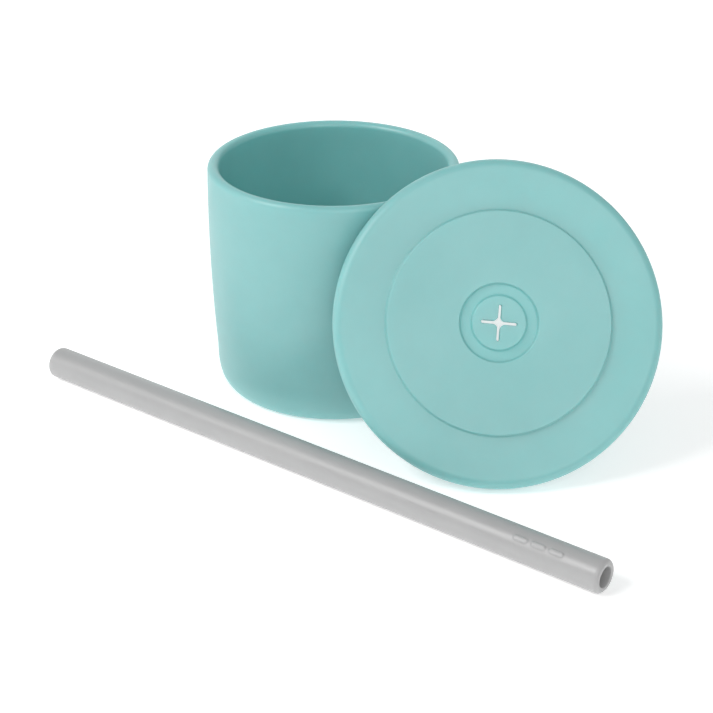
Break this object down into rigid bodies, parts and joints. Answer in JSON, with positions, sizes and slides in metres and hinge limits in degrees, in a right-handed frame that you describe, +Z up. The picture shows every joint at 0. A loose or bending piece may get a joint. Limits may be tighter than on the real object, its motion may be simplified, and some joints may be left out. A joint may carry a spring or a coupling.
{
  "type": "sippy cup",
  "caption": "Toddler's silicone straw cup laid out open: standing round cup, press-in brimmed lid with a cross slit leaning on its rim, and a straight straw lying in front.",
  "frame": {"origin": "centre of the cup's flat base, on the surface that everything rests on", "axes": "+Z up along the cup's axis, -Y towards the side where the lid and the straw are laid, +X to the right seen from there"},
  "size_m": [0.1786, 0.1644, 0.0812],
  "materials": {
    "teal_silicone": "matte, soft-touch moulded silicone",
    "grey_silicone": "satin moulded silicone"
  },
  "bodies": {
    "cup": {"cup": "teal_silicone"},
    "lid": {"lid": "teal_silicone"},
    "straw": {"straw": "grey_silicone"}
  },
  "joints": [
    {"name": "lid_lift", "type": "slide", "parent": "cup", "child": "lid", "axis": [0, 0, 1], "range_m": [0, 0.1]},
    {"name": "straw_lift", "type": "slide", "parent": "cup", "child": "straw", "axis": [0, 0, 1], "range_m": [0, 0.12]}
  ]
}
